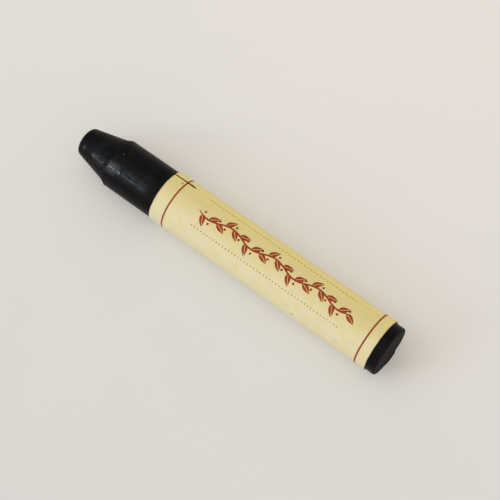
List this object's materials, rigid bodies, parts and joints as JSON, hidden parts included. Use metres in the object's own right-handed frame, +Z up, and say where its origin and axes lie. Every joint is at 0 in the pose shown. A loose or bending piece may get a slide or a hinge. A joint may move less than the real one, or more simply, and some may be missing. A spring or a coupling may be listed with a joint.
{
  "type": "wax stick crayon",
  "caption": "Round wax stick crayon with a blunt tapered drawing tip and a wound paper wrapper, glued along a lapped seam, that slides along the stick.",
  "frame": {"origin": "on the resting plane, under the middle of the stick's length and its axis", "axes": "+X along the stick, from the drawing tip to the butt; +Z up from the table it lies on; the wrapper's seam edge is above the axis on the +Y side"},
  "size_m": [0.0892, 0.0129, 0.0129],
  "materials": {
    "wax": "black pigmented wax, waxy satin with scuffs",
    "paper": "pale yellow uncoated paper with red-brown printed lines",
    "glue": "dried clear paste"
  },
  "bodies": {
    "stick": {"wax_stick": "wax"},
    "sleeve": {"paper_wrapper": "paper", "seam_glue": "glue"}
  },
  "joints": [
    {"name": "sleeve_slide", "type": "slide", "parent": "stick", "child": "sleeve", "axis": [1, 0, 0], "range_m": [-0.0139, 0.07]}
  ]
}
